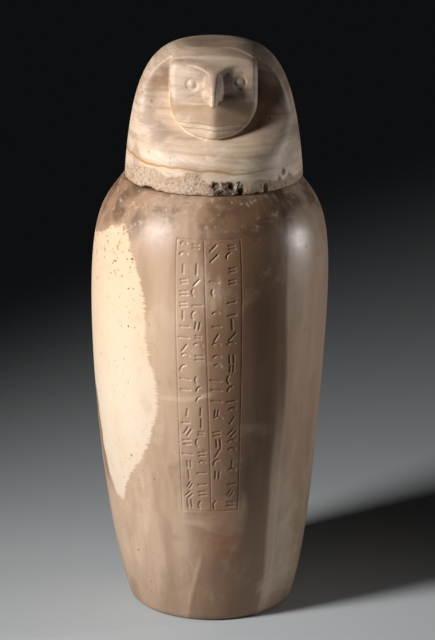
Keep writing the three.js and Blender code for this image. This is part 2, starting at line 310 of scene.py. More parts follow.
class Stone(Bench):
    """A stone material: a ground, laid over with colours by their places on the object."""

    def __init__(self, name, ground):
        self.material = bpy.data.materials.new(name)
        self.material.use_nodes = True
        super().__init__(self.material.node_tree)
        self.tree.nodes.clear()
        self.ground = ground
        self.place = self.add("ShaderNodeTexCoord", None, "Object")
        self.x, self.y, self.z = self.split(self.place)
        self.angle = self.math("ARCTAN2", self.x, -self.y) * math.degrees(1.0)

    def noise(self, scale, detail=3.0, roughness=0.55, distortion=0.0, vector=None):
        """Noise on the stone, or on a vector. scale is a number, or one for each axis."""
        vector = vector or self.place
        if isinstance(scale, tuple):
            inputs = {0: vector, 1: scale}
            vector = self.add("ShaderNodeVectorMath", inputs, "Vector", operation="MULTIPLY")
            scale = 1.0
        inputs = {
            "Vector": vector,
            "Scale": scale,
            "Detail": detail,
            "Roughness": roughness,
            "Distortion": distortion,
        }
        return self.add("ShaderNodeTexNoise", inputs, "Fac")

    def curve(self, value, points):
        """value through a curve, both from 0 to 1."""
        return self.add("ShaderNodeFloatCurve", {"Value": value}, points=points)

    def mix(self, share, under, over):
        """The colour under, covered by the colour over to that share."""
        under, over = [c if isinstance(c, Signal) else (*c, 1.0) for c in (under, over)]
        inputs = {"Factor_Float": share, "A_Color": under, "B_Color": over}
        settings = {"data_type": "RGBA", "clamp_result": True}
        return self.add("ShaderNodeMix", inputs, "Result_Color", **settings)

    def lay(self, share, colour):
        """Lays a colour over the ground, to that share."""
        self.ground = self.mix(share, self.ground, colour)

    def finish(self, roughness, height):
        """Ends the material: height is a relief of the stone's own depth, under a smooth gloss."""
        bump_inputs = {"Strength": 1.0, "Distance": RELIEF, "Height": height}
        inputs = {
            "Base Color": self.ground,
            "Roughness": roughness,
            "Normal": self.add("ShaderNodeBump", bump_inputs),
            "IOR": 1.5,
        }
        shader = self.add("ShaderNodeBsdfPrincipled", inputs)
        self.add("ShaderNodeOutputMaterial", {"Surface": shader})
        return self.material


# ---- the jar ----

JAR = SimpleNamespace(
    foot_round=6 * MM,
    belly_height=246 * MM,
    # The dressed wall stays this far inside the plain one.
    inset=0.1 * MM,
    rim_radius=65.4 * MM,
    rim_round=1.5 * MM,
    # What the section's curves are drawn towards, as radius and height or one of them.
    foot_pull=0.8 * MM,
    wall_pull=(78 * MM, 53 * MM),
    belly_pull=189 * MM,
    shoulder_pull=(78 * MM, 312 * MM),
)
BOW = SimpleNamespace(reach=1.4 * MM, start=40 * MM, half_wave=205 * MM)
BORE = SimpleNamespace(
    mouth_radius=48 * MM,
    neck_depth=20 * MM,
    radius=64 * MM,
    widest=236 * MM,
    floor_radius=34 * MM,
    floor_height=32 * MM,
    neck_pull=14 * MM,
    upper_pull=20 * MM,
    lower_pull=150 * MM,
    floor_pull=52 * MM,
)
# The polished wall lies under a perfect turning by this much, between these radii and heights.
HAND_GROUND = SimpleNamespace(
    depth=0.12 * MM,
    radii=(66 * MM, 70 * MM),
    heights=(8 * MM, 30 * MM),
    # Each wave as turns round the jar, radians up each metre, and its start.
    waves=((3, 14, 0), (5, -31, 1.3)),
)

# The wall is a lattice of 3 mm cells. Those of the panel are cut finer.
AROUND = 184
FINE = 6
PANEL_COLUMNS = 10
WALL_STEP = 3 * MM
PANEL_MARGIN = 4 * MM


def bezier(points, shares):
    """Points of a curve of two, three or four ends."""
    points = [np.outer(np.ones_like(shares), point) for point in points]
    shares = shares[:, None]
    while len(points) > 1:
        points = [a + (b - a) * shares for a, b in zip(points, points[1:])]
    return points[0]


def axis_offset(height):
    """How far the hand-ground axis bows sideways at that height."""
    return -BOW.reach * np.sin(math.pi * (height - BOW.start) / BOW.half_wave)


def jar_outside(sizes):
    """The outside's half section, as (radius, height) in even steps up from the foot."""
    share = np.linspace(0, 1, 400)
    foot = sizes.foot_radius
    belly = BELLY_RADIUS - JAR.inset
    base = (foot, JAR.foot_round)
    widest = (belly, JAR.belly_height)
    fullness = JAR.belly_height + sizes.shoulder_fullness
    rim = (JAR.rim_radius, JAR_HEIGHT)
    curves = (
        [(foot - JAR.foot_round, 0), (foot - JAR.foot_pull, 0), base],
        [base, JAR.wall_pull, (belly, JAR.belly_pull), widest],
        [widest, (belly, fullness), JAR.shoulder_pull, rim],
    )
    section = np.vstack([bezier(ends, share)[bool(n):] for n, ends in enumerate(curves)])
    run = np.concatenate([[0], np.cumsum(np.hypot(*np.diff(section, axis=0).T))])
    steps = round(run[-1] / WALL_STEP)
    even_run = np.linspace(0, run[-1], steps + 1)
    return np.column_stack([np.interp(even_run, run, section[:, i]) for i in (0, 1)])


def jar_inside():
    """The half section over the rim, down the neck and the bore, and in to the floor's middle."""
    lip, mouth = BORE.mouth_radius, JAR_HEIGHT - BORE.neck_depth
    rim_round = JAR.rim_round
    flat = np.linspace(JAR.rim_radius, lip + rim_round, 7)[1:]
    rim = [(radius, JAR_HEIGHT) for radius in flat]
    rim += [
        (lip + rim_round * (1 - math.sin(turn)), JAR_HEIGHT - rim_round * (1 - math.cos(turn)))
        for turn in np.linspace(0, math.pi / 2, 5)[1:]
    ]
    rim += [(lip, height) for height in np.linspace(JAR_HEIGHT - rim_round, mouth, 6)[1:]]
    wide = (BORE.radius, BORE.widest)
    neck = [
        (lip, mouth),
        (BORE.radius, mouth - BORE.neck_pull),
        (BORE.radius, BORE.widest + BORE.upper_pull),
        wide,
    ]
    foot = [
        wide,
        (BORE.radius, BORE.lower_pull),
        (BORE.floor_pull, BORE.floor_height),
        (BORE.floor_radius, BORE.floor_height),
    ]
    floor = [(radius, BORE.floor_height) for radius in np.linspace(BORE.floor_radius, 0, 6)[1:]]
    neck = bezier(neck, np.linspace(0, 1, 16)[1:])
    foot = bezier(foot, np.linspace(0, 1, 30)[1:])
    return np.vstack([rim, neck, foot, floor])


def jar_section(sizes):
    """The whole half section: under the foot, up the wall, and down the bore.

    Returns the stations of the lattice, and the first and last of those beside the panel.
    """
    outside = jar_outside(sizes)
    flat_foot = np.linspace(0, sizes.foot_radius - JAR.foot_round, 8)[:-1]
    under = [(radius, 0.0) for radius in flat_foot]
    stations = np.vstack([under, outside, jar_inside()])
    low, high = sizes.panel_bottom - PANEL_MARGIN, sizes.panel_top + PANEL_MARGIN
    wall = range(len(under), len(under) + len(outside))
    beside = [index for index in wall if low < stations[index][1] < high]
    return stations, beside[0], beside[-1]


def jar_mesh(sizes):
    """The jar as a lattice of stations and columns, with finer cells where the panel is cut."""
    stations, low, high = jar_section(sizes)
    last = len(stations) - 1
    left, right = AROUND // 2 - PANEL_COLUMNS, AROUND // 2 + PANEL_COLUMNS
    keys = {}
    faces = []

    def corner(row, column):
        """The number of a lattice point, given in fine steps. Each pole is one point."""
        column %= AROUND * FINE
        if row in (0, last * FINE):
            column = 0
        return keys.setdefault((row, column), len(keys))

    def edge(start, end, fine):
        """The points from start to just before end."""
        steps = FINE if fine else 1
        return [
            corner(*(a + (b - a) * step // steps for a, b in zip(start, end)))
            for step in range(steps)
        ]

    def fine_cells(rows, columns):
        for i in rows:
            for j in columns:
                square = (i, j), (i, j + 1), (i + 1, j + 1), (i + 1, j)
                faces.append([corner(*place) for place in square])

    for row in range(last):
        for column in range(AROUND):
            beside_rows = low <= row < high
            beside_columns = left <= column < right
            a, b = row * FINE, (row + 1) * FINE
            c, d = column * FINE, (column + 1) * FINE
            if beside_rows and beside_columns:
                fine_cells(range(a, b), range(c, d))
                continue
            ring = edge((a, c), (a, d), beside_columns and row == high)
            ring += edge((a, d), (b, d), beside_rows and column == left - 1)
            ring += edge((b, d), (b, c), beside_columns and row == low - 1)
            ring += edge((b, c), (a, c), beside_rows and column == right)
            faces.append(list(dict.fromkeys(ring)))

    lattice = np.array(list(keys), dtype=float) / FINE
    radius = np.interp(lattice[:, 0], np.arange(last + 1), stations[:, 0])
    height = np.interp(lattice[:, 0], np.arange(last + 1), stations[:, 1])
    angle = (lattice[:, 1] / AROUND - 0.5) * 2 * math.pi
    sunk = hand_ground(angle, height, radius)
    points = np.column_stack([
        (radius - sunk) * np.sin(angle) + axis_offset(height),
        -(radius - sunk) * np.cos(angle),
        height,
    ])
    mesh = bpy.data.meshes.new("jar")
    mesh.from_pydata(points.tolist(), [], faces)
    return mesh


def hand_ground(angle, height, radius):
    """How deep the polished wall lies under a perfect turning, in metres, in two slow waves."""
    outside = smooth_step(*HAND_GROUND.radii, radius) * smooth_step(*HAND_GROUND.heights, height)
    wave = sum(np.sin(a * angle + b * height + start) for a, b, start in HAND_GROUND.waves)
    return outside * HAND_GROUND.depth * (1 + 0.5 * wave)


# The panel's upright lines, as degrees from the front at their upper and lower ends.
PANEL_LINES = ((-16.4, -14.7), (-2.7, 0.9), (15.4, 15.3))
# Nothing inside this radius is cut.
CUT_RADIUS = 68 * MM
STROKES = SimpleNamespace(
    # Where a row's two strokes stand in their column, as shares of its width.
    first=0.27,
    apart=0.46,
    # How far the rows stay from the panel's ends, as a share of its height.
    margin=0.025,
    # How far they stray across and up, as shares of the column and of the panel.
    stray=(0.03, 0.005),
    missing=0.12,
    tilt=0.16,
    lean=-0.7,
    sizes=(0.75, 1.12),
    # Half lengths of the single and the paired bars, half the pair's gap, and the bow.
    bar=3.4 * MM,
    paired_bar=2.6 * MM,
    pair_gap=1.4 * MM,
    bow_radius=3.6 * MM,
    bow_start=0.7,
    bow_sweep=1.7,
)


# The tree's inputs. Those for the sizes have the names of the jar's settings.
TREE_INPUTS = {
    "Jar": "Geometry",
    "Material": "Material",
    "Belly radius": "Float",
    "Panel top": "Float",
    "Panel bottom": "Float",
    "Stroke depth": "Float",
    "Stroke width": "Float",
    "Line depth": "Float",
    "Line width": "Float",
    "Stroke rows": "Int",
    "Seed": "Int",
}


def inscription_tree():
    """Cuts a panel of two framed columns, with rows of short strokes, into the jar's wall.

    The strokes are laid out flat, with the distance round the belly as X and the height as Y.
    """
    tree = bpy.data.node_groups.new("Cut inscription", "GeometryNodeTree")
    tree.is_modifier = True
    sockets = {}
    for name, kind in TREE_INPUTS.items():
        kind = "NodeSocket" + kind
        sockets[name] = tree.interface.new_socket(name=name, in_out="INPUT", socket_type=kind)
    tree.interface.new_socket(name="Jar", in_out="OUTPUT", socket_type="NodeSocketGeometry")
    bench = Bench(tree)
    entry = bench.add("NodeGroupInput")
    given = {name: entry.other(name) for name in sockets}
    frame_edges = panel_lines(bench, given)
    position = bench.add("GeometryNodeInputPosition")
    stroke_edges = panel_strokes(bench, given, position)

    # Each point of the wall sinks by how near it lies to a stroke or a line.
    x, y, z = bench.split(position)
    around = bench.math("ARCTAN2", x, -y) * given["Belly radius"]
    spot = bench.vector(around, z)
    outside = bench.math("SQRT", x * x + y * y) > CUT_RADIUS
    stroke = bench.groove(stroke_edges, spot, given["Stroke width"]) * given["Stroke depth"]
    line = bench.groove(frame_edges, spot, given["Line width"]) * given["Line depth"]
    sink = bench.math("MAXIMUM", stroke, line) * outside
    normal = bench.add("GeometryNodeInputNormal", None, "Normal")
    scale_inputs = {0: normal, "Scale": -sink}
    offset = bench.add("ShaderNodeVectorMath", scale_inputs, "Vector", operation="SCALE")
    cut = bench.add("GeometryNodeSetPosition", {"Geometry": given["Jar"], "Offset": offset})
    real = bench.add("GeometryNodeRealizeInstances", {"Geometry": cut})
    stone_inputs = {"Geometry": real, "Material": given["Material"]}
    bench.add("NodeGroupOutput", {"Jar": bench.add("GeometryNodeSetMaterial", stone_inputs)})
    return tree, {name: item.identifier for name, item in sockets.items()}


def panel_lines(bench, given):
    """The panel's frame and its middle line, as flat edges."""
    top, bottom = given["Panel top"], given["Panel bottom"]
    reach = given["Belly radius"] * math.radians(1.0)
    lines = [
        bench.line(bench.vector(reach * upper, top), bench.vector(reach * lower, bottom))
        for upper, lower in PANEL_LINES
    ]
    for height, end in ((top, 0), (bottom, 1)):
        start = bench.vector(reach * PANEL_LINES[0][end], height)
        lines.append(bench.line(start, bench.vector(reach * PANEL_LINES[2][end], height)))
    return bench.add("GeometryNodeCurveToMesh", {"Curve": bench.join(lines)})


def panel_strokes(bench, given, position):
    """The rows of strokes, two in each column, as flat edges."""
    top, bottom, seed = given["Panel top"], given["Panel bottom"], given["Seed"]
    reach = given["Belly radius"] * math.radians(1.0)
    rows = given["Stroke rows"]
    grid_inputs = {"Size X": 1.0, "Size Y": 1.0, "Vertices X": 4, "Vertices Y": rows}
    grid = bench.add("GeometryNodeMeshGrid", grid_inputs, "Mesh")
    grid_x, grid_y, _ = bench.split(position)
    jitter = bench.random("FLOAT_VECTOR", seed, (-1.0, -1.0, 0.0), (1.0, 1.0, 0.0))
    jitter_x, jitter_y, _ = bench.split(jitter)
    stray_across, stray_up = STROKES.stray
    right_column = grid_x > 0.0
    in_column = (grid_x + 0.5 - right_column * (2 / 3)) * (3 * STROKES.apart)
    share = STROKES.first + in_column + jitter_x * stray_across
    up = 1 - STROKES.margin - (grid_y + 0.5) * (1 - 2 * STROKES.margin) + jitter_y * stray_up
    left_line, middle_line, right_line = [low + (high - low) * up for high, low in PANEL_LINES]
    first = left_line + right_column * (middle_line - left_line)
    second = middle_line + right_column * (right_line - middle_line)
    height = bottom + (top - bottom) * up
    flat = bench.vector(reach * (first + (second - first) * share), height)
    placed = bench.add("GeometryNodeSetPosition", {"Geometry": grid, "Position": flat})
    gone = bench.random("BOOLEAN", seed + 1, chance=STROKES.missing)
    gone_inputs = {"Geometry": placed, "Selection": gone}
    kept = bench.add("GeometryNodeDeleteGeometry", gone_inputs, domain="POINT")

    # Three kinds of stroke: a bar, a bow and a pair of short bars.
    half, gap = STROKES.paired_bar, STROKES.pair_gap
    bar = bench.line((-STROKES.bar, 0.0, 0.0), (STROKES.bar, 0.0, 0.0))
    bow_inputs = {
        "Resolution": 9,
        "Radius": STROKES.bow_radius,
        "Start Angle": STROKES.bow_start,
        "Sweep Angle": STROKES.bow_sweep,
    }
    bow = bench.add("GeometryNodeCurveArc", bow_inputs, "Curve", mode="RADIUS")
    pair = bench.join([bench.line((-half, y, 0.0), (half, y, 0.0)) for y in (-gap, gap)])
    kinds = bench.add("GeometryNodeGeometryToInstance", {"Geometry": [bar, bow, pair]})
    turn = bench.random("INT", seed + 2, 0, 3)
    tilt = bench.random("FLOAT", seed + 3, -STROKES.tilt, STROKES.tilt)
    quarter = bench.math("MODULO", turn, 2.0) * (math.pi / 2)
    lean = (turn > 2.5) * STROKES.lean
    size = bench.random("FLOAT", seed + 4, *STROKES.sizes)
    strokes_inputs = {
        "Points": kept,
        "Instance": kinds,
        "Pick Instance": True,
        "Instance Index": bench.random("INT", seed + 5, 0, 2),
        "Rotation": bench.vector(0.0, 0.0, quarter + lean + tilt),
        "Scale": bench.vector(size, size, 1.0),
    }
    strokes = bench.add("GeometryNodeInstanceOnPoints", strokes_inputs)
    strokes = bench.add("GeometryNodeRealizeInstances", {"Geometry": strokes})
    return bench.add("GeometryNodeCurveToMesh", {"Curve": strokes})


# Edges in the jar's colours, each as shares of its height and of an angle's range.
GREY_EDGE = ((0.0, 0.42), (0.04, 0.43), (0.3, 0.415), (0.55, 0.43), (0.8, 0.42), (1.0, 0.5))
PATCH_RIGHT = (
    (0.262, 0.32), (0.279, 0.391), (0.336, 0.466), (0.397, 0.586), (0.448, 0.649),
    (0.524, 0.702), (0.596, 0.719), (0.664, 0.682), (0.776, 0.667), (0.879, 0.56),
    (0.945, 0.44), (0.966, 0.31),
)
PATCH_LEFT = (
    (0.262, 0.36), (0.333, 0.247), (0.491, 0.162), (0.60, 0.04), (0.66, 0.0),
    (0.86, 0.0), (0.92, 0.13), (0.955, 0.22), (0.966, 0.34),
)
# How many degrees each edge's whole range covers, and where it starts.
GREY_SPAN, GREY_START = 90.0, 1.5
RIGHT_SPAN, RIGHT_START = 90.0, -90.0
LEFT_SPAN, LEFT_START = 110.0, -97.0


def jar_stone(sizes):
    """Banded travertine of the jar: cream patch, upright veins and a polished surface."""
    stone = Stone("Jar travertine", sizes.stone)
    ramp, band, noise, lay = stone.ramp, stone.band, stone.noise, stone.lay
    angle, z = stone.angle, stone.z
    share = z / JAR_HEIGHT

    # The ground colour, from tan on the left to greyer brown on the right, in upright bands.
    front = ramp(angle, 150.0, 110.0)
    upright = noise((40.0, 40.0, 3.0), 4.0, 0.6, 0.4)
    soft = noise((16.0, 16.0, 9.0), 3.0, 0.5, 0.8) - 0.5
    lay(ramp(angle + (upright - 0.5) * 26.0, -20.0, 16.0) * front, sizes.shade_stone)
    beyond = angle - stone.curve(share, GREY_EDGE) * GREY_SPAN - GREY_START + soft * 3.0
    dark = ramp(angle + soft * 16.0, 0.0, 18.0) * ramp(z, 0.04, 0.14)
    dark = dark * front * ramp(z, 0.235, 0.30, 1.0, 0.6)
    lay(dark * 0.85, sizes.dark_stone)
    lay(ramp(beyond, -1.0, 2.0) * front, sizes.grey_stone)
    cloudy = noise((26.0, 26.0, 16.0), 5.0, 0.62, 0.6)
    lay(ramp(upright, 0.38, 0.66) * 0.5, sizes.shade_stone)
    lay(ramp(cloudy, 0.52, 0.70) * (0.5 - dark * 0.3), sizes.pale_vein)
    lay(ramp(cloudy, 0.44, 0.28) * 0.35, sizes.vein)
    lay(band(angle, 8.0, 5.0, 9.0) * band(z, 0.078, 0.012, 0.02) * 0.4, sizes.ruddy)

    # A pale streak along the edge of the grey stone, low down.
    lay(band(beyond, -1.5, 1.4, 3.5) * ramp(z, 0.20, 0.08) * 0.55, sizes.pale_vein)

    # A short level streak across the panel, a darker vein on the shoulder, and one by the foot.
    level = band(z - ramp(angle, -14.0, 4.0) * 0.005, 0.1830, 0.8 * MM, 2.2 * MM)
    lay(level * band(angle, -12.0, 8.0, 9.0) * 0.45, sizes.pale_vein)
    slant = angle - 46.5 + (0.320 - z) * 330.0
    lay(band(slant + soft * 6.0, 0.0, 0.8, 2.2) * ramp(z, 0.255, 0.275) * 0.7, sizes.vein)
    low_edge = angle + 6.0 + (0.055 - z) * 190.0 + soft * 8.0
    low_vein = ramp(z, 0.066, 0.045)
    lay(band(low_edge, 0.0, 0.6, 1.8) * low_vein * 0.3, sizes.pale_vein)
    lay(ramp(low_edge, -0.5, 2.0) * ramp(low_edge, 26.0, 12.0) * low_vein * 0.5, sizes.vein)

    # The shoulder and the foot are duller than the belly, and the shoulder is mottled.
    dull = ramp(z, 0.245, 0.30) * ramp(angle, 10.0, -30.0) * 0.4
    lay(dull + ramp(z, 0.045, 0.005) * 0.3, sizes.shade_stone)
    flecks = noise(190.0, 3.0, 0.65)
    blotch = noise(42.0, 5.0, 0.6)
    shoulder = ramp(z + (blotch - 0.5) * 0.05, 0.292, 0.322)
    lay(shoulder * ramp(angle, -35.0, -60.0) * 0.7, sizes.shade_stone)
    lay(shoulder * ramp(blotch, 0.40, 0.62) * 0.7, sizes.dark_stone)
    lay(shoulder * ramp(flecks, 0.56, 0.68) * 0.4, sizes.pale_vein)

    # The cream patch, with a feathered right edge and a brown strip along its left one.
    teeth = noise(1.0, 3.0, 0.65, vector=stone.vector(angle * 0.035, z * 520.0)) - 0.5
    ragged = noise(70.0) - 0.5
    pulled_in = ramp(z, 0.17, 0.21) * 2.5
    right = stone.curve(share, PATCH_RIGHT) * RIGHT_SPAN + RIGHT_START - pulled_in
    left = stone.curve(share, PATCH_LEFT) * LEFT_SPAN + LEFT_START
    over_right = right - angle + teeth * 7.0 + ragged * 4.0
    over_left = angle - left + ragged * 9.0
    tips = z + ragged * 0.012
    top_edge = tips + ramp(angle, -48.0, -82.0) * 0.016 + teeth * 0.004
    patch = ramp(over_right, -0.6, 1.4) * ramp(over_left, -1.5, 2.5)
    patch = patch * ramp(tips, 0.0905, 0.0930) * ramp(top_edge, 0.3065, 0.3045)
    cream_noise = noise((30.0, 30.0, 12.0), 4.0, 0.6, 0.5)
    pale_noise = noise((90.0, 90.0, 60.0), 5.0, 0.65)
    peach = ramp(z, 0.15, 0.30) * 0.75 + ramp(cream_noise, 0.45, 0.75) * 0.3
    cream = stone.mix(peach, sizes.patch, sizes.peach)
    cream = stone.mix(ramp(pale_noise, 0.52, 0.68) * 0.22, cream, sizes.pale_vein)
    cream = stone.mix(ramp(pale_noise, 0.44, 0.32) * 0.20, cream, sizes.grey_stone)
    lay(patch, cream)
    strip = band(over_left, -3.0, 2.0, 3.0) * ramp(z, 0.09, 0.11) * ramp(z, 0.215, 0.19)
    lay(strip * 0.6, sizes.vein)

    # Scattered pits, thickest at the patch's upper end, and smudges there.
    crowded = patch * (0.02 + ramp(z, 0.20, 0.30) * 0.06)
    pits = ramp(noise(330.0, 2.0, 0.6) + crowded, 0.70, 0.76)
    pits = pits * ramp(noise(30.0, 2.0) + crowded, 0.46, 0.58)
    smudge_zone = patch * band(angle, -57.0, 5.0, 9.0) * ramp(z, 0.235, 0.30)
    smudges = ramp(noise(170.0, 3.0, 0.6) + smudge_zone * 0.12, 0.66, 0.74) * smudge_zone
    lay(smudges * 0.75, sizes.shade_stone)
    lay(pits * 0.8, sizes.vein)

    height = noise(900.0, 4.0, 0.6) * 0.10 + upright * 0.6 + flecks * 0.25 - pits * 3.0
    polish = 0.36 - ramp(angle, 10.0, 35.0) * 0.06
    roughness = polish + flecks * 0.16 + patch * 0.14 + pits * 0.3
    return stone.finish(roughness, height)


# ---- the lid ----

# The lid's own millimetres: x to the viewer's right, u forward, z up from its lower edge.
# Each slope turns a height difference into a distance, and each blend rounds a join.
LID_TOP = 99.9
TOP_BLEND = 0.5
BACK_BLEND = 2
JOIN_BLEND = 1.6
BELL = SimpleNamespace(radius=65.5, height=100, taper=0.19, taper_power=1.3, dome_power=4)
HOOD = SimpleNamespace(
    half_width=53.5,
    widest=50,
    arch_height=42.5,
    arch_power=3,
    arch_flare=0.385,
    tuck=0.038,
    # The walls fan out from a point this far behind the middle, further forward on the left.
    apex=8,
    left_apex=10,
    left=(-5, -25),
    apex_height=56,
    edge_forward=22.5,
    # The opening's upper edge is higher beside the forehead.
    lintel=84,
    lintel_rise=10,
    lintel_run=(22, 30),
    slope=0.7,
    ledge=37,
    ledge_rise=19,
    ledge_front=58,
    ledge_run=33,
    deepest=6,
    wall_blend=4,
    ledge_blend=12,
    # The opening's edge is crisp at the top and softens into the collar, more so on the left.
    edge_blend=1,
    collar_blend=17,
    collar_run=(78, 50),
    left_blend=9,
    left_blend_across=(-24, -40),
    left_blend_up=(50, 70),
)
FACE = SimpleNamespace(
    half_width=31.6,
    side_height=68,
    chin_drop=29.5,
    chin_power=2.4,
    eyes_forward=46.8,
    eyes_sweep=0.29,
    eyes_lean=0.1,
    lean_level=84,
    lean_range=(-10, 30),
    jaw_forward=55.2,
    jaw_sweep=0.44,
    jaw_round=7,
    mouth_height=67,
    # The step from the eyes to the jaw widens towards the sides.
    mouth_step=2.4,
    step_widening=0.22,
    step_start=6,
    step_widest=20,
    slope=0.93,
    edge_blend=4.5,
    brow_blend=2.2,
    beak_blend=1.4,
)
BROW = SimpleNamespace(
    forward=53.5,
    sweep=0.72,
    root_round=1.5,
    slope=0.8,
    edge_height=83,
    edge_rise=0.4,
    edge_slope=0.9,
    temple_rise=1.5,
    temple_run=(20, 31),
    blend=2.8,
)
BEAK = SimpleNamespace(
    root_height=85,
    length=19,
    root_forward=53.1,
    reach=10,
    curve=1.5,
    lean=0.6,
    half_width=6.1,
    narrowing=0.6,
    flank_depth=10,
    flank_power=2.1,
    ridge_round=0.4,
    slope=0.42,
    under_height=67,
    hook_drop=3.4,
    hook_half_width=7,
    hook_run=(54, 62),
    under_blend=0.9,
)
NOSTRIL = SimpleNamespace(depth=0.7, side=8.5, height=69.5, half_width=2.2, half_height=1.1)
FOREHEAD = SimpleNamespace(
    top=100,
    fall=15,
    front=53.5,
    power=3,
    camber=0.0063,
    brow_camber=0.004,
    brow_run=(24, 42),
    drop=0.4,
    slope=0.9,
    # It turns down sharply over the brow and softly further back, and joins the wig softly.
    brow_blend=3,
    back_blend=4,
    back_run=(38, 24),
    wig_blend=3.5,
)
# The carved edge that arches over the brow, where the forehead meets the wig.
BROW_ARCH = SimpleNamespace(depth=0.4, forward=22, camber=0.0095, half_width=1.8)
# The brow's arch and the softer join with the wig come in between these heights.
CROWN_RUN = (84, 90)
WIG_RUN = (80, 90)
EYES = ((-15.6, 76.8), (18.9, 77.9))
# Each eye's ball, the groove and the low ring round it, and its socket.
EYE = SimpleNamespace(
    ball=0.8,
    ball_inset=0.8,
    groove=0.5,
    groove_width=0.9,
    ring=0.25,
    ring_away=1.7,
    ring_width=1.0,
    socket=0.35,
    socket_run=(8, 5),
    # Nothing further back is carved.
    forward=30,
)
PLUG = SimpleNamespace(radius=44.5, chamfer=2.0, into_lid=6, blend=0.5, join=0.3)
WEAR = SimpleNamespace(rub=0.5, rub_height=1.2, under=0.15, under_blend=0.6, chip_blend=0.4)

# Chips out of the worn lower edge and the wig, as place (right, forward, up) and reach.
CHIPS = (
    ((-48, 45, -0.6), (12, 7, 3.0)),
    ((-38, 54, -0.5), (5, 4, 1.6)),
    ((37, 54.5, 3.0), (1.9, 3.0, 4.6)),
    ((31.5, 58, 0), (3.0, 2.4, 1.6)),
    ((51, 41, 12), (2.6, 2.0, 2.2)),
    ((55, 36, 9), (1.8, 1.8, 1.6)),
    ((47, 45, 8), (1.6, 1.4, 1.4)),
    ((8, 65.4, 2), (5, 1.5, 2.2)),
    ((-12, 64.6, 0), (6, 1.6, 1.4)),
    ((2, 64.8, 8), (3.2, 1.2, 2.0)),
    ((14, 63.6, 7), (3.8, 1.3, 2.8)),
    ((20, 62.0, 3), (3.5, 1.4, 2.6)),
    ((-60, -24, 0), (6, 4, 2.0)),
    ((30, -58, 0), (9, 4, 1.8)),
)


def smooth_step(start, end, value):
    """0 at start and 1 at end, also where end is the smaller of the two."""
    share = np.clip((value - start) / (end - start), 0, 1)
    return share * share * (3 - 2 * share)


def smooth_max(a, b, blend):
    share = np.clip(0.5 + 0.5 * (a - b) / blend, 0, 1)
    return b + (a - b) * share + blend * share * (1 - share)


def smooth_min(a, b, blend):
    return -smooth_max(-a, -b, blend)


def bell(x, u, z):
    """The plain outside of the wig: a tapering cup with a flattened dome."""
    rise = np.clip(z / BELL.height, 0, 2)
    radius = BELL.radius * (1 - BELL.taper * rise ** BELL.taper_power)
    power = BELL.dome_power
    return (((np.hypot(x, u) / radius) ** power + rise ** power) ** (1 / power) - 1) * radius


def wig_opening(x, u, z):
    """The hollow round the face, negative inside it."""
    apex = HOOD.apex - HOOD.left_apex * smooth_step(*HOOD.left, x)
    scale = (HOOD.edge_forward + apex) / np.maximum(u + apex, 1)
    side = np.abs(x) * scale
    height = HOOD.apex_height + (z - HOOD.apex_height) * scale
    above = np.clip((height - HOOD.widest) / HOOD.arch_height, 0, 1)
    below = np.maximum(HOOD.widest - height, 0)
    arch = HOOD.half_width * (1 - above ** HOOD.arch_power) ** HOOD.arch_flare
    edge = arch - HOOD.tuck * below ** 2
    lintel = HOOD.lintel + HOOD.lintel_rise * smooth_step(*HOOD.lintel_run, side)
    wall = np.maximum(side - edge, height - lintel) / scale * HOOD.slope
    behind = np.maximum(HOOD.ledge_front - u, 0) / HOOD.ledge_run
    ledge = HOOD.ledge + HOOD.ledge_rise * behind ** 2
    hollow = smooth_max(wall, HOOD.deepest - u, HOOD.wall_blend)
    return smooth_max(hollow, ledge - z, HOOD.ledge_blend)


def cheeks(side, u, z):
    """The planes of the eyes and of the jaw, with a step between them at the mouth."""
    lean = FACE.eyes_lean * np.clip(FACE.lean_level - z, *FACE.lean_range)
    eyes = FACE.eyes_forward - FACE.eyes_sweep * side + lean
    jaw = FACE.jaw_forward - FACE.jaw_sweep * np.sqrt(side * side + FACE.jaw_round)
    wide = np.clip(side - FACE.step_start, 0, FACE.step_widest)
    spread = FACE.mouth_step + FACE.step_widening * wide
    share = smooth_step(spread, -spread, z - FACE.mouth_height)
    return (u - eyes * (1 - share) - jaw * share) * FACE.slope


def brows(side, u, z):
    """The brows, which sweep back from the beak's root."""
    edge = BROW.edge_height + BROW.edge_rise * side
    edge = edge + BROW.temple_rise * smooth_step(*BROW.temple_run, side)
    front = BROW.forward - BROW.sweep * np.sqrt(side * side + BROW.root_round)
    return smooth_max((u - front) * BROW.slope, (edge - z) * BROW.edge_slope, BROW.blend)


def beak(x, u, z):
    """The beak, which curves down to a hooked tip and leans a little."""
    down = np.clip((BEAK.root_height - z) / BEAK.length, -1, 1)
    drop = np.where(down > 0, 1 - (1 - np.clip(down, 0, 1)) ** BEAK.curve, down)
    ridge = BEAK.root_forward + BEAK.reach * drop
    across = x + BEAK.lean * down
    width = BEAK.half_width - BEAK.narrowing * np.maximum(down, 0)
    out = np.sqrt(across * across + BEAK.ridge_round) / width
    flank = BEAK.flank_depth * out ** BEAK.flank_power
    hook = smooth_step(BEAK.hook_half_width, 0, np.abs(across)) * smooth_step(*BEAK.hook_run, u)
    under = BEAK.under_height - z - BEAK.hook_drop * hook
    return smooth_max((u - ridge + flank) * BEAK.slope, under, BEAK.under_blend)


def falcon_face(x, u, z):
    """Cheeks, brows, beak and nostrils, negative behind their surface."""
    side = np.abs(x)
    face = smooth_min(cheeks(side, u, z), brows(side, u, z), FACE.brow_blend)
    face = smooth_min(face, beak(x, u, z), FACE.beak_blend)
    out = (side - NOSTRIL.side) / NOSTRIL.half_width
    above = (z - NOSTRIL.height) / NOSTRIL.half_height
    return face + NOSTRIL.depth * np.exp(-(out ** 2 + above ** 2))


